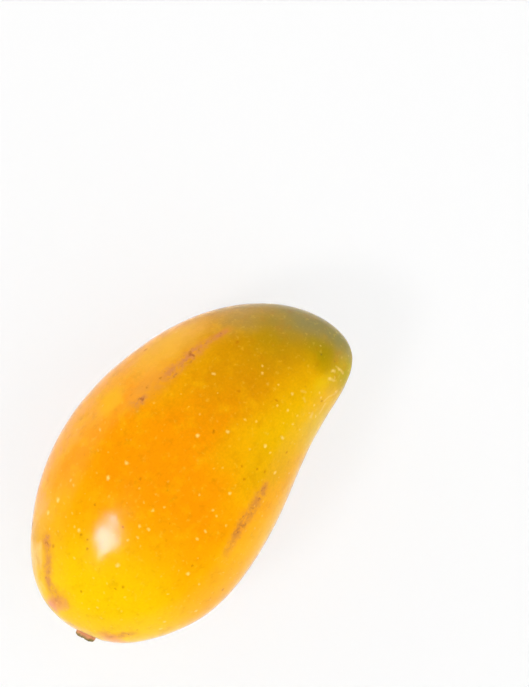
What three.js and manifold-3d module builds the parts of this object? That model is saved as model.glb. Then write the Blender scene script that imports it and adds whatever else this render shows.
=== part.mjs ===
// A ripe mango as picked, lying on its cheek, with the stub of its stalk in the stalk end.
// Units are millimetres. +X runs from the stalk end to the beak, -Y is the belly that the beak
// bends to, +Z is up, and the fruit rests on z = 0.

import * as THREE from "three";
import { mergeVertices } from "three/addons/utils/BufferGeometryUtils.js";
import Module from "manifold-3d";

// Driving dimensions

// The outline seen from above is one closed cubic B-spline. Each station pulls it at a point of
// the back and a point of the belly, from the stalk pole to the beak pole. fullness is the
// section's half thickness as a share of its half width.
const STATIONS = [
  { back: [-59.8, -13.4], belly: [-59.8, -13.4], fullness: 0.9 },
  { back: [-61.5, 10.5], belly: [-50.5, -25], fullness: 0.87 },
  { back: [-36.5, 29.5], belly: [-33, -35.3], fullness: 0.845 },
  { back: [-12.5, 36.5], belly: [-16, -36.2], fullness: 0.845 },
  { back: [14, 35], belly: [3.5, -33.5], fullness: 0.87 },
  { back: [41.9, 24.9], belly: [22.5, -27], fullness: 0.885 },
  { back: [60.5, 4.2], belly: [37.5, -23.5], fullness: 0.87 },
  { back: [61.6, -21.5], belly: [61.6, -21.5], fullness: 0.83 },
];
const SHOULDER = 0.06; // how much fuller than an ellipse each section is beside its rim
const MID_HEIGHT = 29.6; // height of the outline above the surface, which trims the resting face

const STUB_AT = [-58.6, -10.5, 2.5]; // where the stalk's axis leaves the skin, from the mid-plane
const STUB_RADIUS = 3.1;
const STUB_PROUD = 1.2; // how far the stub stands out of the skin
const SOCKET_DEPTH = 2.6; // how deep the stub sits below the skin
const STUB_HEADING = THREE.MathUtils.degToRad(193.5); // the stalk's direction seen from above
const GAP = 0.3; // between the stub and its socket

// Mesh fineness
const RINGS = 48;
const SIDES = 56;
const STUB_SIDES = 32;

const LAST = STATIONS.length - 1;

const manifold = await Module();
manifold.setup();

// The outline's control point on one side. Past a pole the outline runs on along the other side.
function pull(side, index) {
  const across = side === "back" ? "belly" : "back";
  if (index < 0) return STATIONS[-index][across];
  if (index > LAST) return STATIONS[2 * LAST - index][across];
  return STATIONS[index][side];
}

function fullness(index) {
  const station = index < 0 ? -index : index;
  return STATIONS[station > LAST ? 2 * LAST - station : station].fullness;
}

// The four weights of a uniform cubic B-spline, f of the way from one station to the next.
function weights(f) {
  return [
    (1 - f) ** 3 / 6,
    (3 * f ** 3 - 6 * f ** 2 + 4) / 6,
    (-3 * f ** 3 + 3 * f ** 2 + 3 * f + 1) / 6,
    f ** 3 / 6,
  ];
}

// The section at w, which counts stations: the outline's point on the back and on the belly, and
// how full the section is between them.
function section(w) {
  const start = Math.min(Math.floor(w), LAST - 1);
  const back = new THREE.Vector2();
  const belly = new THREE.Vector2();
  let full = 0;
  weights(w - start).forEach((weight, i) => {
    const index = start - 1 + i;
    back.addScaledVector(new THREE.Vector2(...pull("back", index)), weight);
    belly.addScaledVector(new THREE.Vector2(...pull("belly", index)), weight);
    full += fullness(index) * weight;
  });
  return { back, belly, full };
}

// The skin at station w and at an angle round the section: 0 is the back, a quarter turn the top.
function skinPoint(w, angle) {
  const { back, belly, full } = section(w);
  const half = back.clone().sub(belly).multiplyScalar(0.5);
  const spot = back.clone().add(belly).multiplyScalar(0.5);
  spot.addScaledVector(half, Math.cos(angle));
  const swell = 1 + SHOULDER * Math.cos(angle) ** 2;
  return [spot.x, spot.y, half.length() * full * Math.sin(angle) * swell];
}

// The whole skin: a pole, rings of points and the other pole.
function skinGeometry() {
  const points = [skinPoint(0, 0)];
  for (let ring = 1; ring < RINGS; ring += 1) {
    for (let side = 0; side < SIDES; side += 1) {
      points.push(skinPoint((ring * LAST) / RINGS, (side * 2 * Math.PI) / SIDES));
    }
  }
  points.push(skinPoint(LAST, 0));

  const end = points.length - 1;
  const at = (ring, side) => 1 + (ring - 1) * SIDES + (side % SIDES);
  const faces = [];
  for (let side = 0; side < SIDES; side += 1) {
    faces.push(0, at(1, side + 1), at(1, side));
    for (let ring = 1; ring < RINGS - 1; ring += 1) {
      faces.push(at(ring, side), at(ring, side + 1), at(ring + 1, side + 1));
      faces.push(at(ring, side), at(ring + 1, side + 1), at(ring + 1, side));
    }
    faces.push(at(RINGS - 1, side), at(RINGS - 1, side + 1), end);
  }
  const geometry = new THREE.BufferGeometry();
  geometry.setAttribute("position", new THREE.Float32BufferAttribute(points.flat(), 3));
  geometry.setIndex(faces);
  return geometry;
}

function toSolid(geometry) {
  const bare = geometry.clone();
  bare.deleteAttribute("normal");
  bare.deleteAttribute("uv");
  const merged = mergeVertices(bare);
  const mesh = new manifold.Mesh({
    numProp: 3,
    vertProperties: new Float32Array(merged.attributes.position.array),
    triVerts: new Uint32Array(merged.index.array),
  });
  return new manifold.Manifold(mesh);
}

function toGeometry(solid) {
  const mesh = solid.getMesh();
  const geometry = new THREE.BufferGeometry();
  geometry.setAttribute("position", new THREE.BufferAttribute(mesh.vertProperties, 3));
  geometry.setIndex(new THREE.BufferAttribute(mesh.triVerts, 1));
  geometry.computeVertexNormals();
  return geometry;
}

// Puts something drawn along +Y, with the skin at y = 0, on the stalk's axis.
function placeOnStalk(thing) {
  thing.position.set(...STUB_AT);
  thing.rotation.set(0, 0, STUB_HEADING - Math.PI / 2);
  return thing;
}

// Everything below the resting face.
function belowRestingFace() {
  const deep = 20;
  const block = new THREE.BoxGeometry(200, 120, deep);
  return block.translate(0, 0, -MID_HEIGHT - deep / 2);
}

// The round socket that the stub sits in.
function socket() {
  const clear = 6; // how far the cut reaches outside the skin
  const radius = STUB_RADIUS + GAP;
  const depth = SOCKET_DEPTH + GAP;
  const hole = new THREE.CylinderGeometry(radius, radius, depth + clear, STUB_SIDES);
  hole.translate(0, (clear - depth) / 2, 0);
  const holder = placeOnStalk(new THREE.Object3D());
  holder.updateMatrix();
  return hole.applyMatrix4(holder.matrix);
}

function fruit() {
  const solid = toSolid(skinGeometry()).subtract(toSolid(belowRestingFace())).subtract(toSolid(socket()));
  const skin = new THREE.MeshStandardMaterial({ color: 0xf9a30a, roughness: 0.3, metalness: 0 });
  const mesh = new THREE.Mesh(toGeometry(solid), skin);
  mesh.name = "fruit";
  return mesh;
}

// The stub: a short round peg with a softly broken rim.
function stemStub() {
  const rim = 0.7;
  const profile = [
    new THREE.Vector2(0, -SOCKET_DEPTH),
    new THREE.Vector2(STUB_RADIUS, -SOCKET_DEPTH),
    new THREE.Vector2(STUB_RADIUS, STUB_PROUD - rim),
    new THREE.Vector2(STUB_RADIUS - rim * 0.3, STUB_PROUD - rim * 0.3),
    new THREE.Vector2(STUB_RADIUS - rim, STUB_PROUD),
    new THREE.Vector2(0, STUB_PROUD),
  ];
  const bark = new THREE.MeshStandardMaterial({ color: 0x6b5233, roughness: 0.85, metalness: 0 });
  const mesh = new THREE.Mesh(new THREE.LatheGeometry(profile, STUB_SIDES), bark);
  mesh.name = "stem_stub";
  return placeOnStalk(mesh);
}

// The pieces, moved so that the middle of the box around them is over the origin.
function mango() {
  const group = new THREE.Group();
  group.add(fruit(), stemStub());
  group.updateMatrixWorld(true);
  const middle = new THREE.Box3().setFromObject(group, true).getCenter(new THREE.Vector3());
  group.position.set(-middle.x, -middle.y, MID_HEIGHT);
  return group;
}

export default mango();
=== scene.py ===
"""The looks of a ripe mango on a white table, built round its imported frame."""

import math

import bpy
import numpy as np
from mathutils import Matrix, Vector, kdtree, noise


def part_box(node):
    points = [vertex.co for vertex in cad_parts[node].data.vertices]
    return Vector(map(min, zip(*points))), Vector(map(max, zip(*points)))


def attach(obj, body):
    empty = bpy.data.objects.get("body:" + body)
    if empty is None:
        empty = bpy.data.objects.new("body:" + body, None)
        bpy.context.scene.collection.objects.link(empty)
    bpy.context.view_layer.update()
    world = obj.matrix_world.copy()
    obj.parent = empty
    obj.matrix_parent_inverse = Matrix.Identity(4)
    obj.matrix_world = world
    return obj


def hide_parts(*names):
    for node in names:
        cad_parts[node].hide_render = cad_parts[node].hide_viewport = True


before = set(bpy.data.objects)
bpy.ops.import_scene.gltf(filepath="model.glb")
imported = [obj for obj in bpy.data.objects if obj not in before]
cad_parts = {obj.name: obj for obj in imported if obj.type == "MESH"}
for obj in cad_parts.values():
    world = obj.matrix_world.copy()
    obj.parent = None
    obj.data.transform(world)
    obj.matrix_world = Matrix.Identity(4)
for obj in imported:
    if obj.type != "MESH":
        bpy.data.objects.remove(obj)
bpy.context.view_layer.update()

MM = 0.001

# The fruit's own coordinates are millimetres: x runs from the stalk end to the beak, y to the
# back, z up, and their zero is in the middle of the outline seen from above.

# The outline is one closed cubic B-spline, as in the CAD solid. Each station pulls it at the
# back and at the belly, and says how thick the section is for its width.
BACK = [
    (-59.8, -13.4), (-61.5, 10.5), (-36.5, 29.5), (-12.5, 36.5),
    (14, 35), (41.9, 24.9), (60.5, 4.2), (61.6, -21.5),
]
BELLY = [
    (-59.8, -13.4), (-50.5, -25), (-33, -35.3), (-16, -36.2),
    (3.5, -33.5), (22.5, -27), (37.5, -23.5), (61.6, -21.5),
]
FULLNESS = [0.9, 0.87, 0.845, 0.845, 0.87, 0.885, 0.87, 0.83]
SHOULDER = 0.06  # how much fuller than an ellipse each section is beside its rim
LAST = len(BACK) - 1

# How fine the skin's mesh is.
RINGS = 300
SIDES = 320

# The stalk leaves the fruit here, in this direction seen from above.
STALK = np.array([-58.6, -10.5, 2.5])
STALK_ANGLE = math.radians(193.5)
STALK_AXIS = np.array([math.cos(STALK_ANGLE), math.sin(STALK_ANGLE), 0])
STALK_END = -50  # the stalk's dimple and collar lie short of this x
STUB_RADIUS = 3.1

# The camera looks straight down from here.
EYE = np.array([42.8, 4.6, 689])


# ---------------------------------------------------------------- the skin's shape

# Round the stalk the skin sinks in a shallow dimple, rises in a collar and drops into the pit
# that holds the stub. The pit's wall leans out from its floor's radius to its rim's.
DIMPLE_DEPTH = 0.5
DIMPLE_RADIUS = 6
COLLAR_HEIGHT = 0.12
COLLAR_RADIUS = 5.4
COLLAR_WIDTH = 1.3
PIT_DEPTH = 2.0
PIT_FLOOR = 1.8
PIT_RIM = 4.3

# The skin's unevenness: the height, width and seed of each kind of bump.
BUMPS = [(0.1, 21, 1), (0.04, 8, 2), (0.025, 3, 3)]

# Wrinkles near the beak, in an ellipsoid with this middle and these radii.
WRINKLES_AT = (50, -17, 6)
WRINKLES_RADII = (9, 5, 12)
WRINKLE_HEIGHT = 0.22


def past_the_poles(side, other):
    """The pulls of one side, run on past each pole by one pull of the other side."""
    return np.vstack([other[1], side, other[-2]]).astype(float)


def spline(pulls, w):
    """The uniform cubic B-spline of these pulls, at stations w."""
    start = np.minimum(np.floor(w).astype(int), LAST - 1)
    f = (w - start)[:, None]
    weights = (
        (1 - f) ** 3 / 6,
        (3 * f**3 - 6 * f**2 + 4) / 6,
        (-3 * f**3 + 3 * f**2 + 3 * f + 1) / 6,
        f**3 / 6,
    )
    return sum(weight * pulls[start + i] for i, weight in enumerate(weights))


def skin_points(w, angle):
    """Points of the smooth skin at stations w and at angles round the section."""
    back = spline(past_the_poles(BACK, BELLY), w)
    belly = spline(past_the_poles(BELLY, BACK), w)
    full = np.array(FULLNESS)[:, None]
    full = spline(past_the_poles(full, full), w)[:, 0]
    half = (back - belly) / 2
    flat = (back + belly) / 2 + half * np.cos(angle)[:, None]
    swell = 1 + SHOULDER * np.cos(angle) ** 2
    height = np.linalg.norm(half, axis=1) * full * np.sin(angle) * swell
    return np.column_stack([flat, height])


def skin_grid():
    """The skin's points, pole first and pole last, and how near each one is to the back's ridge
    (1) or the belly's (-1)."""
    ring, side = np.meshgrid(np.arange(1, RINGS), np.arange(SIDES), indexing="ij")
    w = np.concatenate([[0], ring.ravel() * LAST / RINGS, [LAST]])
    angle = np.concatenate([[0], side.ravel() * 2 * np.pi / SIDES, [0]])
    return skin_points(w, angle), np.cos(angle)


def closed_faces(rings, sides):
    """The faces between a pole, rings of points and the other pole, numbered in that order."""
    at = 1 + np.arange(rings * sides).reshape(rings, sides)
    on = np.roll(at, -1, axis=1)
    end = 1 + rings * sides
    faces = np.stack([at[:-1], on[:-1], on[1:], at[1:]], axis=-1).reshape(-1, 4).tolist()
    faces += [(0, b, a) for a, b in zip(at[0].tolist(), on[0].tolist())]
    faces += [(a, b, end) for a, b in zip(at[-1].tolist(), on[-1].tolist())]
    return faces


def smooth_step(low, high, value):
    """0 up to low, 1 from high on, and a smooth rise between them."""
    t = np.clip((value - low) / (high - low), 0, 1)
    return t * t * (3 - 2 * t)


def bell(value, middle, width):
    """1 at the middle, falling off smoothly over this width to either side."""
    return np.exp(-(((value - middle) / width) ** 2))


def perlin(points, size, seed):
    """Smooth noise from -1 to 1 whose bumps are about this size."""
    shift = Vector((seed * 17.3, seed * 5.7, seed * 11.9))
    return np.array([noise.noise(Vector(p) / size + shift) for p in points.tolist()])


def stalk_polar(points):
    """How far each point is from the stalk's axis, and how far along it."""
    away = points - STALK
    along = away @ STALK_AXIS
    return np.linalg.norm(away - along[:, None] * STALK_AXIS, axis=1), along


def relief(points):
    """How far the skin stands out of its smooth shape, in millimetres."""
    out = sum(height * perlin(points, size, seed) for height, size, seed in BUMPS)
    at_beak = np.exp(-(((points - WRINKLES_AT) / WRINKLES_RADII) ** 2).sum(axis=1))
    out += WRINKLE_HEIGHT * at_beak * perlin(points * (1, 1.8, 1), 3.2, 4)
    from_stalk, _ = stalk_polar(points)
    at_stalk = points[:, 0] < STALK_END
    collar = bell(from_stalk, COLLAR_RADIUS, COLLAR_WIDTH) * at_stalk
    pit = (1 - smooth_step(PIT_FLOOR, PIT_RIM, from_stalk)) * at_stalk
    dimple = bell(from_stalk, 0, DIMPLE_RADIUS) * at_stalk
    return out + COLLAR_HEIGHT * collar - DIMPLE_DEPTH * dimple - PIT_DEPTH * pit


def mesh_object(name, points, faces):
    """A smooth-shaded mesh of these faces, with its points given in millimetres."""
    mesh = bpy.data.meshes.new(name)
    mesh.from_pydata((np.asarray(points) * MM).tolist(), [], faces)
    mesh.polygons.foreach_set("use_smooth", [True] * len(mesh.polygons))
    mesh.update()
    made = bpy.data.objects.new(name, mesh)
    bpy.context.collection.objects.link(made)
    return made


def vertex_normals(mesh):
    """The direction that each vertex faces."""
    found = np.empty(len(mesh.vertices) * 3, np.float32)
    mesh.vertices.foreach_get("normal", found)
    return found.reshape(-1, 3).astype(float)


def place_in_frame():
    """The move from the fruit's own coordinates to the frame, in millimetres."""
    points, _ = skin_grid()
    low, high = (np.array(corner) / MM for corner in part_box("fruit"))
    middle = (points.min(axis=0) + points.max(axis=0)) / 2
    move = (low + high) / 2 - middle
    move[2] = high[2] - points[:, 2].max()
    return move


MOVE = place_in_frame()


# ---------------------------------------------------------------- marks on the skin

# Marks are placed by where the eye sees them on the level of the fruit's middle: x, y.
SEEN_ABOVE = -2  # the eye sees no skin lower than this

# Corky pores seen best on the upper cheek: x, y and radius. The rest are scattered.
PALE_SPOTS = [
    (-18.4, 14.5, 0.75), (-11.6, 13.6, 0.7), (-8.7, 25.9, 0.6), (8.6, 1.9, 0.75), (26.2, 10.4, 0.6),
    (37.0, 0.7, 0.5), (35.7, -0.8, 0.55), (22.6, 6.0, 0.4), (-38.2, 21.8, 0.9), (-33.4, 22.0, 0.9),
    (-26.4, 22.9, 0.6), (-27.0, 21.3, 0.5), (-41.5, 18.3, 0.5), (-36.4, 11.2, 0.75),
    (-36.0, 13.1, 0.5), (-43.4, 6.8, 0.55), (-33.7, 15.9, 0.45), (-36.9, -4.6, 0.8),
    (-28.9, -2.0, 0.55), (-26.3, -3.9, 0.5), (-23.4, -1.9, 0.6), (-22.7, -4.4, 0.6),
    (-50.4, -7.8, 0.55), (-52.3, -6.2, 0.45), (-25.1, -22.2, 0.8), (-25.2, -27.1, 0.55),
    (-33.6, -21.9, 0.45), (-42.5, -12.5, 0.45), (-17.4, -2.2, 0.65), (-14.5, -3.6, 0.5),
    (-4.8, -9.6, 0.5), (-5.5, -15.6, 0.55), (-15.4, -17.8, 0.65), (-12.0, -18.2, 0.55),
    (-6.5, -17.9, 0.5), (1.5, -16.4, 0.7), (-6.5, -21.8, 0.5), (15.2, -22.7, 0.65),
    (15.5, -3.8, 0.7), (19.2, -15.5, 0.75), (18.8, -17.9, 0.5), (24.5, -17.6, 0.7),
    (23.1, -8.4, 0.5), (21.5, -5.8, 0.5), (31.8, -13.5, 0.6), (30.9, -10.3, 0.55),
    (29.9, -17.6, 0.5), (36.7, -11.6, 0.6), (36.1, -6.5, 0.5), (38.1, -18.7, 0.5),
    (42.0, -17.8, 0.5), (41.2, -18.9, 0.55), (35.8, -21.4, 0.55), (47.5, -17.3, 0.6),
    (49.8, -16.4, 0.5), (51.4, -17.6, 0.6), (45.3, -20.9, 0.6), (53.1, -8.6, 0.45),
]

# Dark specks seen there, given in the same way.
DARK_SPOTS = [
    (-44.5, 14.3, 0.55), (-36.5, 9.9, 0.45), (-38.8, 5.7, 0.5), (-37.0, 7.6, 0.35),
    (-49.7, -0.9, 0.4), (-26.7, 1.9, 0.45), (-27.0, 12.4, 0.35), (38.0, 11.2, 0.45),
    (26.8, 1.4, 0.45), (18.6, 30.8, 0.8), (10.0, 23.4, 0.4), (15.0, 21.8, 0.4), (-12.4, 6.8, 0.35),
    (-40.8, -10.2, 0.5), (-42.7, -8.3, 0.35), (-21.8, -33.4, 0.6), (-22.3, -21.8, 0.4),
    (7.5, -17.1, 0.5), (10.1, -13.7, 0.4), (12.3, -18.1, 0.45), (13.5, -20.3, 0.5),
    (22.0, -21.5, 0.45), (31.8, -9.2, 0.4), (40.6, -19.8, 0.4), (51.2, -10.7, 0.4),
]

# The scattered spots: how many, how far apart at least, and what shares of them are dark or bold.
SCATTERED = 620
SPOTS_APART = 2.6
DARK_SHARE = 0.16
BOLD_SHARE = 0.04
BOLD_SHARE_HIDDEN = 0.28  # where the eye sees none, so that none is listed
OVAL = 0.4  # the largest share by which a spot's offsets are shortened

# Healed rubs: points of the line they follow on the skin, each with how wide the rub is to either
# side of it and how dark it is there.
RUBS = [
    [
        ((2.5, 23.0), 1.8, 0.1), ((4.6, 23.0), 1.1, 0.6), ((5.7, 22.3), 1.2, 1.0),
        ((6.8, 21.9), 1.1, 0.5), ((8.5, 22.3), 2.2, 0.15), ((12.5, 21.3), 2.2, 0.2),
        ((15.6, 20.7), 1.9, 0.3), ((18.8, 20.5), 1.6, 0.6), ((21.5, 20.0), 1.4, 0.35),
        ((23.6, 19.7), 1.8, 0.7), ((27.2, 19.2), 1.8, 0.7), ((30.4, 18.3), 1.4, 0.45),
        ((32.4, 17.9), 1.0, 0.4), ((34.7, 16.8), 1.0, 0.6), ((36.8, 16.3), 0.9, 0.7),
        ((39.0, 15.4), 0.9, 0.2), ((41.5, 14.4), 0.8, 0.0),
    ],
    [
        ((10.0, -22.9), 1.0, 0.6), ((7.8, -23.6), 1.4, 0.65), ((5.5, -23.9), 1.7, 0.6),
        ((2.9, -24.4), 1.6, 0.75), ((0.7, -24.8), 1.8, 0.5), ((-1.3, -24.9), 1.7, 0.5),
        ((-3.9, -25.5), 1.6, 0.95), ((-5.9, -25.8), 1.4, 0.8), ((-8.4, -26.2), 1.2, 0.35),
        ((-11.4, -27.0), 1.2, 0.35), ((-14.5, -27.7), 0.9, 0.08),
    ],
    [
        ((-44.1, 17.0), 1.4, 0.6), ((-45.4, 16.0), 1.4, 0.65), ((-47.4, 14.2), 1.3, 0.35),
        ((-49.8, 11.8), 1.3, 0.4), ((-52.2, 10.0), 1.4, 0.4), ((-54.2, 8.1), 1.5, 0.5),
        ((-55.0, 6.2), 1.6, 0.4), ((-55.5, 4.6), 1.8, 0.35), ((-56.3, 2.8), 2.0, 0.4),
        ((-55.2, 1.2), 1.8, 0.2), ((-53.9, 0.3), 1.3, 0.05),
    ],
    [
        ((-55.2, -14.3), 0.9, 0.2), ((-54.3, -16.9), 1.1, 0.4), ((-53.2, -18.3), 1.1, 0.35),
        ((-51.3, -19.4), 1.0, 0.45), ((-50.2, -20.4), 0.9, 0.25), ((-47.0, -22.8), 0.8, 0.05),
    ],
]

# Pale scratches and corky wrinkles near the beak, given in the same way.
SCRATCHES = [
    [
        ((51.3, -16.3), 0.3, 0.5), ((51.5, -17.4), 0.25, 0.4), ((51.4, -18.4), 0.4, 0.7),
        ((51.1, -19.4), 0.4, 0.6),
    ],
    [((49.6, -16.4), 0.5, 0.7), ((50.1, -17.0), 0.5, 0.7)],
    [((47.0, -17.0), 0.4, 0.6), ((47.8, -18.6), 0.4, 0.6)],
    [
        ((45.6, -21.3), 0.6, 0.7), ((44.8, -21.4), 0.4, 0.4), ((43.0, -20.5), 0.3, 0.4),
        ((41.2, -20.4), 0.3, 0.5),
    ],
    [((48.4, -18.4), 0.3, 0.4), ((48.8, -18.0), 0.3, 0.4)],
    [((38.9, -13.2), 0.4, 0.3), ((39.4, -14.4), 0.4, 0.3)],
    [((37.8, -15.0), 0.4, 0.35), ((37.2, -15.9), 0.4, 0.25)],
    [((40.6, -21.0), 0.4, 0.5), ((38.7, -21.4), 0.45, 0.55), ((37.4, -21.6), 0.4, 0.3)],
    [((35.8, -19.9), 0.6, 0.45), ((34.9, -20.4), 0.6, 0.45)],
]
FAR = 9.0  # line widths: a vertex farther than this from every line counts as this far


def as_seen(places):
    """Where the eye sees each point on the level of the fruit's middle."""
    spread = EYE[2] / (EYE[2] - places[:, 2:])
    return EYE[:2] + (places[:, :2] - EYE[:2]) * spread


def finder(places):
    """A function that gives the skin's point seen at x, y."""
    upper = places[places[:, 2] > SEEN_ABOVE]
    seen = as_seen(upper)
    return lambda x, y: upper[np.argmin(((seen - (x, y)) ** 2).sum(axis=1))]


def scatter_spots(places, taken, count, apart, draw):
    """Further points of the skin, none nearer than apart to another. They are closest together on
    the belly near the beak."""
    found = []
    kept = [np.array(p) for p in taken]
    while len(found) < count:
        point = places[draw.integers(len(places))]
        beakwards = smooth_step(10, 45, point[0]) * (1 - smooth_step(-8, 6, point[1]))
        crowd = 0.55 + 0.45 * beakwards
        if draw.random() > crowd:
            continue
        if min(np.sum((point - other) ** 2) for other in kept) > apart**2:
            kept.append(point)
            found.append(point)
    return found


def all_spots(places):
    """Every pore and speck: middle, radius, and how pale (above 0) or dark (below 0) it is."""
    find = finder(places)
    # A larger pore is also paler.
    spots = [(find(x, y), 0.9 * r, 1.35 * r - 0.12) for x, y, r in PALE_SPOTS]
    spots += [(find(x, y), 1.2 * r, -0.65) for x, y, r in DARK_SPOTS]
    draw = np.random.default_rng(11)
    middles = [middle for middle, _, _ in spots]
    for middle in scatter_spots(places, middles, SCATTERED, SPOTS_APART, draw):
        x, y, z = middle
        hidden = z < 0 or (y > 20 and z < 12)
        bold = draw.random() < (BOLD_SHARE_HIDDEN if hidden else BOLD_SHARE)
        dark = draw.random() < DARK_SHARE
        radius = 0.45 + 0.25 * draw.random() if bold else 0.3 + 0.2 * draw.random()
        tone = 0.55 + 0.4 * draw.random() if bold else 0.12 + 0.3 * draw.random()
        on_olive = x > 18 and y > -8 and z > 0
        if on_olive:
            tone *= 0.3
        spots.append((middle, radius, -tone if dark else tone))
    return spots


def write_attribute(mesh, name, kind, domain, values):
    """Stores numbers on the mesh, for its material to read."""
    made = mesh.attributes.new(name, kind, domain)
    key = "vector" if kind == "FLOAT_VECTOR" else "value"
    made.data.foreach_set(key, np.asarray(values, np.float32).ravel())


def face_corners(mesh):
    """The vertex at every corner of every face, and how many corners each face has."""
    corners = np.empty(len(mesh.loops), np.int32)
    mesh.loops.foreach_get("vertex_index", corners)
    sizes = np.empty(len(mesh.polygons), np.int32)
    mesh.polygons.foreach_get("loop_total", sizes)
    return corners, sizes


def nearest_spots(points, middles):
    """The number of the spot nearest to each point."""
    tree = kdtree.KDTree(len(middles))
    for i, middle in enumerate(middles):
        tree.insert(middle, i)
    tree.balance()
    return np.array([tree.find(point)[1] for point in points.tolist()])


def drawn_out(offsets, nearest, count):
    """The offsets from each spot's middle, shortened along one direction of its own, which makes
    the spot oval."""
    draw = np.random.default_rng(5)
    ways = draw.normal(size=(count, 3))
    ways /= np.linalg.norm(ways, axis=1)[:, None]
    longer = ways * np.sqrt(draw.uniform(0, OVAL, count))[:, None]
    longer = longer[nearest]
    return offsets - longer * (offsets * longer).sum(axis=1)[:, None]


def mark_spots(mesh, places):
    """Gives every face the spot nearest to it, and every corner its offset from that spot."""
    spots = all_spots(places)
    middles = np.array([middle for middle, _, _ in spots])
    corners, sizes = face_corners(mesh)
    first_corners = corners[np.cumsum(sizes) - sizes]
    nearest = nearest_spots(places[first_corners], middles)
    at_corners = np.repeat(nearest, sizes)
    offsets = drawn_out(places[corners] - middles[at_corners], at_corners, len(spots))
    write_attribute(mesh, "spot_offset", "FLOAT_VECTOR", "CORNER", offsets)
    looks = np.array([(radius, max(tone, 0), max(-tone, 0)) for _, radius, tone in spots])
    write_attribute(mesh, "spot_look", "FLOAT_VECTOR", "FACE", looks[nearest])


def mark_lines(mesh, places, lines, name):
    """Gives every vertex its distance from the nearest line, as a share of the line's width
    there, and how strong the line is there."""
    find = finder(places)
    away = np.full(len(places), FAR)
    strength = np.zeros(len(places))
    for line in lines:
        points = [find(*spot) for spot, _, _ in line]
        looks = np.array([look for _, *look in line])
        for i in range(len(line) - 1):
            run = points[i + 1] - points[i]
            t = np.clip((places - points[i]) @ run / (run @ run), 0, 1)
            look = looks[i] + t[:, None] * (looks[i + 1] - looks[i])
            gap = np.linalg.norm(places - points[i] - t[:, None] * run, axis=1) / look[:, 0]
            nearer = gap < away
            away[nearer] = gap[nearer]
            strength[nearer] = look[nearer, 1]
    write_attribute(mesh, name + "_away", "FLOAT", "POINT", away)
    write_attribute(mesh, name + "_strength", "FLOAT", "POINT", strength)


def build_skin():
    """The skin in its place, flat where it rests, with the attributes that its material reads."""
    points, ridge = skin_grid()
    skin = mesh_object("mango_skin", points, closed_faces(RINGS - 1, SIDES))
    write_attribute(skin.data, "ridge", "FLOAT", "POINT", ridge)
    shaped = points + vertex_normals(skin.data) * relief(points)[:, None]
    placed = shaped + MOVE
    placed[:, 2] = np.maximum(placed[:, 2], 0)
    skin.data.vertices.foreach_set("co", (placed * MM).ravel())
    skin.data.update()
    mark_spots(skin.data, placed - MOVE)
    mark_lines(skin.data, placed - MOVE, RUBS, "rub")
    mark_lines(skin.data, placed - MOVE, SCRATCHES, "scratch")
    return skin


# ---------------------------------------------------------------- node helpers

def linear(red, green, blue):
    """A colour given as sRGB numbers from 0 to 255, in linear light."""
    def one(v):
        v /= 255
        return v / 12.92 if v <= 0.04045 else ((v + 0.055) / 1.055) ** 2.4
    return (one(red), one(green), one(blue), 1)


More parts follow.
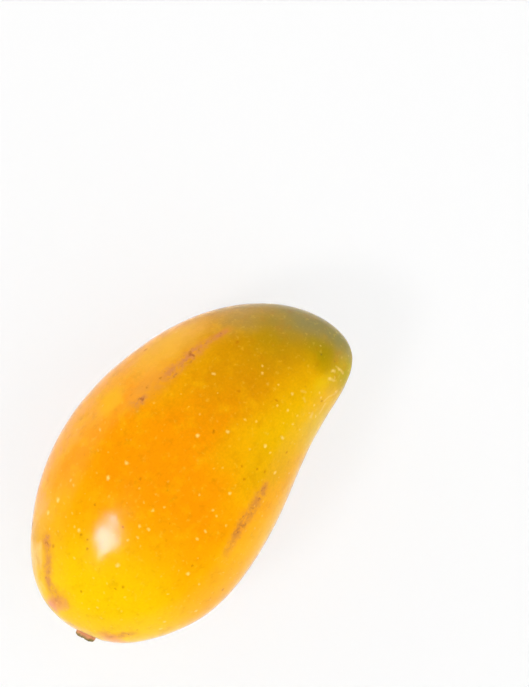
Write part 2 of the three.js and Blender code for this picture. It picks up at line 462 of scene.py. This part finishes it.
class Nodes:
    """Short ways to add nodes to one shader tree."""

    def __init__(self, tree):
        self.tree = tree

    def add(self, kind, inputs=(), **settings):
        """A node with these settings, each input a number or a socket to link from."""
        node = self.tree.nodes.new(kind)
        for name, value in settings.items():
            setattr(node, name, value)
        for key, value in dict(inputs).items():
            socket = node.inputs[key]
            if isinstance(value, bpy.types.NodeSocket):
                self.tree.links.new(value, socket)
            else:
                socket.default_value = value
        return node

    def math(self, operation, a, b=0.0, clamp=False):
        inputs = {0: a, 1: b}
        return self.add("ShaderNodeMath", inputs, operation=operation, use_clamp=clamp).outputs[0]

    def vector(self, operation, a, b=(0, 0, 0)):
        node = self.add("ShaderNodeVectorMath", {0: a, 1: b}, operation=operation)
        return node.outputs["Value" if operation == "LENGTH" else "Vector"]

    def scale(self, a, factor):
        inputs = {0: a, "Scale": factor}
        return self.add("ShaderNodeVectorMath", inputs, operation="SCALE").outputs[0]

    def part(self, vector, axis):
        return self.add("ShaderNodeSeparateXYZ", {0: vector}).outputs[axis]

    def attribute(self, name, output="Vector"):
        return self.add("ShaderNodeAttribute", attribute_name=name).outputs[output]

    def ramp(self, value, low, high, to_low=0.0, to_high=1.0):
        """Goes smoothly from to_low to to_high as value goes from low to high."""
        inputs = {"Value": value, "From Min": low, "From Max": high}
        inputs.update({"To Min": to_low, "To Max": to_high})
        return self.add("ShaderNodeMapRange", inputs, interpolation_type="SMOOTHSTEP").outputs[0]

    def mix(self, factor, a, b):
        """The colour a where factor is 0 and b where it is 1."""
        # Inputs 6 and 7 and output 2 are a Mix node's colours.
        inputs = {0: factor, 6: a, 7: b}
        return self.add("ShaderNodeMix", inputs, data_type="RGBA").outputs[2]

    def noise(self, where, size, detail=2.0, roughness=0.5, shift=None, colour=False):
        """Noise round 0.5 whose bumps are about this size. Each shift gives other bumps."""
        if shift:
            where = self.vector("ADD", where, shift)
        inputs = {"Vector": where, "Scale": 1 / size, "Detail": detail, "Roughness": roughness}
        return self.add("ShaderNodeTexNoise", inputs).outputs["Color" if colour else 0]

    def wave(self, where, size, detail=2.0, height=1.0, **settings):
        """Noise round zero, up to about half of height to either side."""
        level = self.math("SUBTRACT", self.noise(where, size, detail, **settings), 0.5)
        return self.math("MULTIPLY", level, height)

    def wandering(self, moved, where, size, detail, reach):
        """The place moved, shifted up to about half of reach each way by noise at where."""
        wobble = self.noise(where, size, detail, colour=True)
        wobble = self.vector("SUBTRACT", wobble, (0.5, 0.5, 0.5))
        return self.vector("ADD", moved, self.scale(wobble, reach))

    def blob(self, where, centre, radii, inner=0.0):
        """1 in the middle of an ellipsoid, falling to 0 at its surface."""
        away = self.vector("DIVIDE", self.vector("SUBTRACT", where, centre), radii)
        return self.ramp(self.vector("LENGTH", away), inner, 1.0, 1.0, 0.0)


def new_material(name):
    """A material, the means to add nodes to it, and its shader."""
    material = bpy.data.materials.new(name)
    material.use_nodes = True
    nodes = Nodes(material.node_tree)
    shader = material.node_tree.nodes["Principled BSDF"]
    return material, nodes, shader


def fruit_place(n):
    """The shaded point in the fruit's own coordinates."""
    metres = n.add("ShaderNodeTexCoord").outputs["Object"]
    return n.vector("SUBTRACT", n.scale(metres, 1 / MM), tuple(MOVE))


# ---------------------------------------------------------------- the skin's material

# The skin's colour under the broad tones.
BASE_TONE = linear(252, 153, 2)

# Broad tones of the skin, laid over each other in this order: colour, strength, middle, radii,
# and how much of the radius is at full strength. The grey greens at the beak are partly its own
# green and partly painted shade.
TONES = [
    ((252, 202, 4), 1.0, (-64, -10, 0), (60, 52, 110), 0.38),
    ((254, 186, 3), 0.9, (-8, -34, 0), (38, 22, 60), 0.2),
    ((250, 172, 6), 0.7, (-14, 46, 0), (64, 34, 70), 0.2),
    ((214, 150, 4), 1.0, (45, 8, 0), (48, 40, 80), 0.2),
    ((182, 144, 12), 1.0, (57, 4, 0), (26, 30, 70), 0.2),
    # This tone and the next: partly the beak's own green, partly painted shade and a painted grey
    # reflection over the tip.
    ((148, 141, 88), 1.0, (63, 2, 0), (18, 30, 60), 0.2),
    ((174, 149, 84), 0.75, (51, 19, 0), (20, 14, 60), 0.2),
    ((240, 185, 4), 1.0, (26, -16.5, 0), (37, 17.5, 60), 0.3),
    ((234, 172, 5), 0.8, (15, -19.5, 20), (14, 8, 16), 0.2),
    ((180, 166, 12), 0.9, (54, -22, 0), (13, 11, 40), 0.2),
    # Partly the beak's own green, partly painted shade and a painted grey reflection over the tip.
    ((150, 142, 76), 1.0, (63, -13, 0), (12, 15, 50), 0.3),
    ((164, 142, 0), 0.9, (52, -11, 20), (9, 9, 22), 0.2),
    ((253, 184, 4), 0.6, (-30, 19, 12), (26, 9, 24), 0.2),
    ((222, 160, 20), 0.8, (-50, 22, 8), (16, 12, 30), 0.2),
    ((242, 184, 8), 0.4, (15, 17, 16), (26, 9, 20), 0.2),
    ((250, 184, 5), 0.35, (0, -17, 16), (13, 8, 20), 0.2),
    ((240, 184, 5), 0.35, (13, -7, 24), (15, 7, 16), 0.2),
    ((248, 172, 2), 0.4, (-17, -38, 4), (28, 12, 30), 0.2),
    ((232, 196, 24), 0.4, (35, -26, 0), (17, 9, 24), 0.2),
]

# Blushes: small tinted patches, given in the same way as the tones. The last two are painted
# reflection: a cream glow along the belly's rim.
BLUSHES_AND_RIM_REFLECTIONS = [
    ((244, 166, 50), 0.6, (11, 23, 20), (13, 4.5, 14), 0.2),
    ((250, 186, 62), 0.6, (29, 24, 14), (13, 7, 14), 0.2),
    ((240, 148, 106), 0.85, (-56.6, 3.2, 12), (3.4, 3.6, 12), 0.3),
    ((246, 168, 100), 0.7, (-54.6, 1.0, 14), (3.0, 2.8, 9), 0.3),
    ((248, 192, 124), 0.75, (-59.5, -10, 5), (4.8, 10, 13), 0.25),
    ((244, 158, 92), 0.75, (-53.6, -17.6, 8), (3.4, 7, 9), 0.3),
    ((254, 190, 50), 0.6, (21, 27, 14), (15, 7, 16), 0.2),
    ((252, 188, 12), 0.7, (1, 28, 18), (7, 4, 12), 0.2),
    ((234, 202, 16), 0.45, (44, -16, 12), (7, 3.5, 12), 0.1),
    # Painted reflection from here to the list's end: a cream glow along the belly's rim.
    ((230, 206, 96), 0.3, (38, -23, 9), (18, 7, 13), 0.1),
    ((246, 204, 70), 0.34, (10, -31, 8), (27, 6, 13), 0.1),
]

FLECK_YELLOW = linear(252, 190, 10)
FLECK_BROWN = linear(205, 120, 4)
SMEAR_CREAM = linear(255, 214, 84)

# Partly the back's own paler colour and partly a painted reflection of the white room along the
# back's rim.
BACK_YELLOW_AND_REFLECTION = linear(252, 186, 56)
BACK_SALMON_AND_REFLECTION = linear(252, 170, 88)
BACK_CREAM_AND_REFLECTION = linear(253, 220, 130)

RUB_HAZE = linear(241, 161, 40)
RUB_ON_BELLY = linear(219, 140, 52)
RUB_ON_BACK = linear(222, 140, 74)
RUB_FLECK = linear(186, 98, 44)

SCRATCH_CREAM = linear(255, 222, 128)
PORE_CREAM = linear(255, 218, 112)
SPECK_BROWN = linear(206, 112, 4)
SPECK_AT_BEAK = linear(112, 88, 44)

LONGWISE = (0.6, 1, 1)  # draws noise out along the fruit
GRAIN_DEPTH = 0.00008  # metres


def tinted(n, place, colour, tints):
    """Lays tinted patches over the colour, one after the other."""
    for tone, strength, middle, radii, inner in tints:
        amount = n.math("MULTIPLY", n.blob(place, middle, radii, inner), strength)
        colour = n.mix(amount, colour, linear(*tone))
    return colour


def toned(n, place):
    """The skin's broad colours, with wandering borders; the grey at the beak's tip is partly
    painted shade.
    """
    wandering = n.wandering(place, place, size=13, detail=2, reach=9)
    return tinted(n, wandering, BASE_TONE, TONES)


def blushed_with_painted_rims(n, place, colour):
    """Tinted patches with ragged edges, and a painted cream reflection along the belly's rim."""
    wandering = n.wandering(place, place, size=4, detail=3, reach=5)
    return tinted(n, wandering, colour, BLUSHES_AND_RIM_REFLECTIONS)


def mottled(n, place, colour):
    """Soft flecks of yellow, brown and cream, a few millimetres wide, and a fine grain."""
    flecks = n.ramp(n.noise(place, 5, 4, roughness=0.6), 0.46, 0.75, 0.0, 0.35)
    flecks = n.math("MULTIPLY", flecks, n.ramp(n.part(place, "X"), 30, 50, 1.0, 0.3))
    colour = n.mix(flecks, colour, FLECK_YELLOW)
    shade = n.ramp(n.noise(place, 3.2, 3, shift=(40, 7, 3)), 0.5, 0.8, 0.0, 0.22)
    colour = n.mix(shade, colour, FLECK_BROWN)
    smears = n.ramp(n.noise(place, 1.5, 3, shift=(8, 30, 60)), 0.58, 0.76, 0.0, 0.2)
    colour = n.mix(smears, colour, SMEAR_CREAM)
    grain = n.ramp(n.noise(place, 0.7, 2), 0.3, 0.7, 0.97, 1.03)
    return n.scale(colour, grain)


def back_band_and_painted_reflection(n, place, ridge):
    """Where the back is paler, partly painted reflection along its rim: along its ridge, with a
    wavy border, and less so at both ends.
    """
    along = n.part(place, "X")
    wave = n.wave(n.vector("MULTIPLY", place, LONGWISE), 6, 3, 0.34)
    band = n.ramp(n.math("ADD", ridge, wave), 0.73, 0.86, 0.0, 0.42)
    band = n.math("MULTIPLY", band, n.ramp(along, 26, 52, 1.0, 0.1))
    return n.math("MULTIPLY", band, n.ramp(along, -58, -44, 0.2, 1.0))


def paler_back_and_painted_reflection(n, place, colour):
    """The paler back, partly painted reflection along its rim: a patchy yellow band, salmon in
    places and cream near the stalk.
    """
    ridge = n.attribute("ridge", "Fac")
    patches = n.noise(place, 9, 4, roughness=0.6, shift=(30, 2, 9))
    upwards = n.math("MULTIPLY", n.part(place, "Z"), 0.016)
    patches = n.math("ADD", patches, upwards)
    patches = n.ramp(patches, 0.36, 0.6, 0.15, 1.0)
    band = n.math("MULTIPLY", back_band_and_painted_reflection(n, place, ridge), patches)
    # Partly painted reflection: the pale band along the back's rim.
    colour = n.mix(band, colour, BACK_YELLOW_AND_REFLECTION)

    wave = n.wave(n.vector("MULTIPLY", place, LONGWISE), 8, 3, 0.9, shift=(5, 60, 2))
    level = n.math("ADD", ridge, wave)
    broken = n.noise(place, 5, 4, roughness=0.6, shift=(3, 50, 20))
    salmon_and_reflection = n.math("MULTIPLY", n.ramp(level, 0.76, 1.04), n.math("MULTIPLY", band, 1.4))
    salmon_and_reflection = n.math("MULTIPLY", salmon_and_reflection, n.ramp(broken, 0.36, 0.6, 0.35, 1.0))
    colour = n.mix(salmon_and_reflection, colour, BACK_SALMON_AND_REFLECTION)

    near_stalk = n.ramp(n.part(place, "X"), -48, -32, 0.54, 0.0)
    cream_and_reflection = n.math("MULTIPLY", n.ramp(level, 0.8, 1.0), near_stalk)
    return n.mix(n.math("MULTIPLY", cream_and_reflection, patches), colour, BACK_CREAM_AND_REFLECTION)


def rubbed(n, place, colour):
    """Healed rubs: soft bands in a haze, browner on the belly than on the back, and flecked with
    brown where they are dark. Also gives the flecks' mask."""
    away = n.math("ADD", n.attribute("rub_away", "Fac"), n.wave(place, 1.3, 4, 1.8, roughness=0.65))
    away = n.math("ADD", away, n.wave(place, 3.4, 2, 1.6))
    dark = n.attribute("rub_strength", "Fac")
    haze = n.math("MULTIPLY", n.ramp(away, 0.4, 2.6, 0.5, 0.0), n.ramp(dark, 0.0, 0.25))
    colour = n.mix(haze, colour, RUB_HAZE)

    band = n.math("MULTIPLY", n.ramp(away, 0.0, 1.7, 0.9, 0.0), n.ramp(dark, 0.0, 0.6))
    blobs = n.ramp(n.noise(place, 1.8, 2, shift=(2, 9, 1)), 0.3, 0.6)
    healed = n.mix(n.ramp(n.part(place, "Y"), -20, 10), RUB_ON_BELLY, RUB_ON_BACK)
    colour = n.mix(n.math("MULTIPLY", band, blobs), colour, healed)

    flecks = n.math("ADD", n.noise(place, 1.3, 3, shift=(9, 4, 6)), n.math("MULTIPLY", dark, 0.3))
    flecks = n.math("MULTIPLY", n.ramp(flecks, 0.68, 0.92), n.ramp(away, 0.2, 1.5, 0.8, 0.0))
    return n.mix(flecks, colour, RUB_FLECK), flecks


def scratched(n, place, colour):
    """Pale scratches and wrinkles. Also gives their mask."""
    away = n.math("ADD", n.attribute("scratch_away", "Fac"), n.wave(place, 0.8, 3, 1.6))
    strength = n.attribute("scratch_strength", "Fac")
    pale = n.math("MULTIPLY", n.ramp(away, 0.0, 1.7, 0.66, 0.0), strength)
    return n.mix(pale, colour, SCRATCH_CREAM), pale


def spotted(n, place, colour):
    """Corky pores, and brown specks that turn greyer at the beak. Also gives the mask of each."""
    offset = n.wandering(n.attribute("spot_offset"), place, size=0.9, detail=3, reach=0.8)
    radius, pale, dark = n.add("ShaderNodeSeparateXYZ", {0: n.attribute("spot_look")}).outputs
    inside = n.ramp(n.math("DIVIDE", n.vector("LENGTH", offset), radius), 0.0, 1.25, 1.0, 0.0)
    pale = n.math("MULTIPLY", inside, pale)
    dark = n.math("MULTIPLY", inside, dark)
    colour = n.mix(pale, colour, PORE_CREAM)
    speck = n.mix(n.ramp(n.part(place, "X"), 34, 54), SPECK_BROWN, SPECK_AT_BEAK)
    return n.mix(dark, colour, speck), pale, dark


def skin_material():
    """Waxy skin: glossy, a little rougher and raised or sunken where it is marked."""
    material, n, shader = new_material("mango_skin")
    place = fruit_place(n)
    colour = paler_back_and_painted_reflection(n, place, toned(n, place))
    colour = mottled(n, place, colour)
    colour = blushed_with_painted_rims(n, place, colour)
    colour, rub = rubbed(n, place, colour)
    colour, scratch = scratched(n, place, colour)
    colour, pale, dark = spotted(n, place, colour)
    pale = n.math("ADD", pale, scratch, clamp=True)
    n.tree.links.new(colour, shader.inputs["Base Color"])

    marks = n.math("ADD", rub, n.math("ADD", pale, dark), clamp=True)
    patchy = n.ramp(n.noise(place, 6, 3), 0.3, 0.7, 0.12, 0.18)
    rough = n.math("ADD", patchy, n.math("MULTIPLY", marks, 0.1))
    n.tree.links.new(rough, shader.inputs["Roughness"])
    shader.inputs["Specular IOR Level"].default_value = 0.1
    shader.inputs["Specular Tint"].default_value = (1, 0.56, 0.95, 1)
    shader.inputs["Sheen Weight"].default_value = 1.0
    shader.inputs["Sheen Roughness"].default_value = 0.16
    shader.inputs["Sheen Tint"].default_value = (1, 0.9, 0.8, 1)

    grain = n.math("MULTIPLY", n.noise(place, 0.9, 3), 0.35)
    height = n.math("SUBTRACT", grain, n.math("MULTIPLY", dark, 0.2))
    height = n.math("ADD", height, n.math("MULTIPLY", pale, 0.5))
    height = n.math("SUBTRACT", height, n.math("MULTIPLY", rub, 0.1))
    inputs = {"Height": height, "Strength": 0.5, "Distance": GRAIN_DEPTH}
    bumps = n.add("ShaderNodeBump", inputs)
    n.tree.links.new(bumps.outputs[0], shader.inputs["Normal"])
    return material


# ---------------------------------------------------------------- the stub

# The stub's profile from its foot in the socket to the rim of its broken end: how far along the
# stalk's axis, and how thick it is there as a share of its radius.
STUB_PROFILE = [(-2.3, 0.93), (-1.0, 0.96), (-0.4, 1.02), (0.1, 1.0), (0.5, 0.97), (0.8, 0.93)]
STUB_FOOT = STUB_PROFILE[0][0]
STUB_END, RIM_SHARE = STUB_PROFILE[-1]
STUB_RINGS = 26
STUB_SIDES = 160
CAP_RINGS = 30

CHIPS_FROM = -0.3  # how far along the bark the rim's chips begin
CAP_SUNK = 0.5  # how far the broken end's middle lies below its rim

# The raised ring just inside the rim. Its place and width are shares of the rim's radius.
LIP_HEIGHT = 0.22
LIP_AT = 0.9
LIP_WIDTH = 0.08

BARK_DARK = linear(98, 96, 50)
BARK_LIGHT = linear(146, 126, 62)
BARK_JOINT = linear(222, 154, 108)
BARK_FLECK = linear(196, 176, 120)
WOOD_DARK = linear(96, 70, 42)
WOOD_LIGHT = linear(198, 164, 112)
WOOD_RING = linear(74, 52, 30)
PITH = linear(120, 84, 48)

BARK_DEPTH = 0.00015  # metres


def stub_point(along, out, turn):
    """A point of the stub from how far along and out of its axis it is, and round it."""
    side_way = np.cross((0, 0, 1), STALK_AXIS)
    across = side_way * np.cos(turn)[:, None] + np.array((0, 0, 1)) * np.sin(turn)[:, None]
    return STALK + STALK_AXIS * along[:, None] + across * out[:, None]


def bark_rings(turn, chips):
    """Rings of points up the ridged bark, from the foot to the chipped rim."""
    reach = np.linspace(0, 1, STUB_RINGS)
    steps = np.linspace(0, 1, len(STUB_PROFILE))
    along = np.interp(reach, steps, [a for a, _ in STUB_PROFILE])
    out = np.interp(reach, steps, [share for _, share in STUB_PROFILE]) * STUB_RADIUS
    rings = []
    for start, radius in zip(along, out):
        level = start + chips * smooth_step(CHIPS_FROM, STUB_END, start)
        smooth = stub_point(level, np.full(STUB_SIDES, radius), turn)
        ridges = 0.09 * perlin(smooth * (0.35, 1, 1), 0.45, 7) + 0.12 * perlin(smooth, 1.6, 8)
        rings.append(stub_point(level, radius + ridges, turn))
    return rings


def cap_rings(turn, chips):
    """Rings of points over the fibrous broken end, from inside the rim to near its middle."""
    rings = []
    for share in np.linspace(1, 0, CAP_RINGS, endpoint=False)[1:]:
        radius = np.full(STUB_SIDES, share * (RIM_SHARE * STUB_RADIUS))
        flat = stub_point(np.full(STUB_SIDES, STUB_END), radius, turn)
        fibres = 0.16 * perlin(flat * (0.2, 1, 1), 0.4, 9) + 0.12 * perlin(flat, 1.1, 10)
        level = STUB_END + chips * share**3 - CAP_SUNK * (1 - share**2) + fibres
        lip = LIP_HEIGHT * bell(share, LIP_AT, LIP_WIDTH)
        rings.append(stub_point(level + lip, radius, turn))
    return rings


def build_stub():
    """Bark round the sides, and a broken end with a rough rim and a sunken middle."""
    turn = np.arange(STUB_SIDES) * 2 * np.pi / STUB_SIDES
    rim = np.column_stack([np.cos(turn), np.sin(turn), 0 * turn]) * STUB_RADIUS
    chips = 0.34 * perlin(rim, 1.5, 5) + 0.2 * perlin(rim, 0.6, 6)
    rings = bark_rings(turn, chips) + cap_rings(turn, chips)
    foot = STALK + STALK_AXIS * STUB_FOOT
    middle = STALK + STALK_AXIS * (STUB_END - CAP_SUNK)
    points = np.vstack([foot, *rings, middle])
    faces = closed_faces(len(rings), STUB_SIDES)
    stub = mesh_object("stem_stub_bark", points + MOVE, faces)
    out, along = stalk_polar(points)
    write_attribute(stub.data, "along", "FLOAT", "POINT", along)
    write_attribute(stub.data, "out", "FLOAT", "POINT", out / STUB_RADIUS)
    return stub


def stub_material():
    """Olive brown bark with pale flecks, pinkish where it joins the fruit, and a broken end of dry
    fibres with a dark ring and a browner middle."""
    material, n, shader = new_material("stem_stub_bark")
    place = fruit_place(n)
    out = n.attribute("out", "Fac")
    colour = n.mix(n.ramp(n.noise(place, 0.8, 4), 0.35, 0.65), BARK_DARK, BARK_LIGHT)
    level = n.math("ADD", n.attribute("along", "Fac"), n.wave(place, 1.1, 4, 1.4))
    colour = n.mix(n.ramp(level, -0.3, 0.6, 1.0, 0.0), colour, BARK_JOINT)
    pale = n.ramp(n.noise(place, 0.5, 3, shift=(3, 8, 5)), 0.58, 0.72)
    colour = n.mix(n.math("MULTIPLY", pale, 0.7), colour, BARK_FLECK)

    fibres = n.noise(n.vector("MULTIPLY", place, (0.2, 1, 1)), 0.3, 4, roughness=0.7)
    wood = n.mix(n.ramp(fibres, 0.3, 0.62), WOOD_DARK, WOOD_LIGHT)
    ring = n.math("MULTIPLY", n.ramp(out, 0.62, 0.76), n.ramp(out, 0.82, 0.9, 0.7, 0.0))
    wood = n.mix(ring, wood, WOOD_RING)
    wood = n.mix(n.ramp(out, 0.1, 0.3, 0.5, 0.0), wood, PITH)
    colour = n.mix(n.ramp(out, 0.8, 0.92, 1.0, 0.0), colour, wood)
    n.tree.links.new(colour, shader.inputs["Base Color"])
    n.tree.links.new(n.ramp(fibres, 0.3, 0.7, 0.7, 0.95), shader.inputs["Roughness"])
    shader.inputs["Specular IOR Level"].default_value = 0.3

    height = n.math("ADD", fibres, n.math("MULTIPLY", n.noise(place, 0.35, 4), 0.8))
    inputs = {"Height": height, "Strength": 0.7, "Distance": BARK_DEPTH}
    bumps = n.add("ShaderNodeBump", inputs)
    n.tree.links.new(bumps.outputs[0], shader.inputs["Normal"])
    return material


# ---------------------------------------------------------------- table, light and camera

FLOOR_HALF = 3000  # half the table's width
FLOOR_DROP = 0.05  # keeps the floor clear of the resting face
FLOOR_GLOW = 0.75  # how much of the floor's look is plain white rather than shaded

# Where the main light comes from, in degrees from straight up and round from +X.
MAIN_LIGHT = (39, 160)
LAMP_AIM = Vector((0, 0, 0.03))  # the middle of the fruit, in metres

CAMERA_LENS = 120.0
CAMERA_TURN = math.radians(-50)


def build_floor():
    """A white table. It is mostly plain white to the eye and in reflections, and takes shadows."""
    half = FLOOR_HALF
    corners = [(-half, -half, 0), (half, -half, 0), (half, half, 0), (-half, half, 0)]
    floor = mesh_object("floor", np.array(corners) - (0, 0, FLOOR_DROP), [(0, 1, 2, 3)])
    material, n, shader = new_material("floor_white")
    shader.inputs["Base Color"].default_value = (0.9, 0.9, 0.9, 1)
    shader.inputs["Roughness"].default_value = 1.0
    shader.inputs["Specular IOR Level"].default_value = 0.0
    glow = n.add("ShaderNodeEmission", {"Color": (1, 1, 1, 1), "Strength": 1.0})
    rays = n.add("ShaderNodeLightPath")
    seen = n.math("ADD", rays.outputs["Is Camera Ray"], rays.outputs["Is Glossy Ray"])
    seen = n.math("ADD", seen, rays.outputs["Is Transmission Ray"], clamp=True)
    share = n.math("MULTIPLY", seen, FLOOR_GLOW)
    mixed = n.add("ShaderNodeMixShader", {0: share, 1: shader.outputs[0], 2: glow.outputs[0]})
    n.tree.links.new(mixed.outputs[0], n.tree.nodes["Material Output"].inputs["Surface"])
    floor.data.materials.append(material)


def build_world():
    """A room with white walls, higher behind the fruit's back, under a dark ceiling."""
    world = bpy.data.worlds.new("studio")
    bpy.context.scene.world = world
    world.use_nodes = True
    n = Nodes(world.node_tree)
    way = n.add("ShaderNodeTexCoord").outputs["Generated"]
    wall = n.ramp(n.part(way, "Y"), -0.3, 0.6, 0.14, 0.42)
    level = n.ramp(n.math("DIVIDE", n.part(way, "Z"), wall), 0.2, 1.0, 0.9, 0.06)
    back = n.tree.nodes["Background"]
    back.inputs["Color"].default_value = (1, 1, 1, 1)
    n.tree.links.new(level, back.inputs["Strength"])


def towards(zenith, azimuth):
    """The direction at these degrees from straight up and round from +X."""
    z, a = math.radians(zenith), math.radians(azimuth)
    return Vector((math.sin(z) * math.cos(a), math.sin(z) * math.sin(a), math.cos(z)))


def lamp_object(light, look):
    """A lamp that shines in this direction."""
    lamp = bpy.data.objects.new(light.name, light)
    lamp.rotation_euler = Vector(look).to_track_quat("-Z", "Y").to_euler()
    bpy.context.collection.objects.link(lamp)
    return lamp


def soft_lamp(name, direction, distance, width, height, radiance):
    """A softbox so many metres from the fruit, seen only in its gloss. A radiance of 1 is a white
    wall's."""
    light = bpy.data.lights.new(name, "AREA")
    light.shape = "RECTANGLE"
    light.size = width
    light.size_y = height
    light.energy = radiance * width * height * math.pi
    way = towards(*direction)
    lamp = lamp_object(light, -way)
    lamp.location = LAMP_AIM + way * distance
    lamp.visible_camera = False
    lamp.visible_diffuse = False


def fill_lamp(name, direction, spread, level):
    """A wide far light that shows in no reflection. level is its share of plain daylight."""
    light = bpy.data.lights.new(name, "SUN")
    light.angle = math.radians(spread)
    light.energy = level * math.pi
    light.cycles.use_multiple_importance_sampling = False
    lamp = lamp_object(light, -towards(*direction))
    lamp.visible_glossy = False


def build_lamps():
    """The softbox and a white card for the gloss, and four wide lights."""
    soft_lamp("softbox", MAIN_LIGHT, distance=1.2, width=0.34, height=0.3, radiance=72)
    soft_lamp("side_card", (80, 95), distance=0.6, width=0.7, height=0.26, radiance=1.0)
    fill_lamp("key", MAIN_LIGHT, spread=14, level=0.3)
    fill_lamp("back_fill", (78, 95), spread=60, level=0.2)
    fill_lamp("dome", (0, 0), spread=150, level=0.475)
    fill_lamp("far_fill", (58, 285), spread=80, level=0.4)


def build_camera():
    """The camera at the eye, turned as the photo is."""
    camera = bpy.data.cameras.new("camera")
    camera.lens = CAMERA_LENS
    camera.clip_start = 0.01
    camera.clip_end = 20
    holder = bpy.data.objects.new("camera", camera)
    holder.location = Vector((EYE + MOVE) * MM)
    holder.rotation_euler = (0, 0, CAMERA_TURN)
    bpy.context.collection.objects.link(holder)
    bpy.context.scene.camera = holder


# ---------------------------------------------------------------- the whole

skin = build_skin()
skin.data.materials.append(skin_material())
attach(skin, "root")
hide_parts("fruit")

stub = build_stub()
stub.data.materials.append(stub_material())
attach(stub, "root")
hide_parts("stem_stub")

build_floor()
build_world()
build_lamps()
build_camera()
bpy.context.scene.view_settings.view_transform = "Standard"
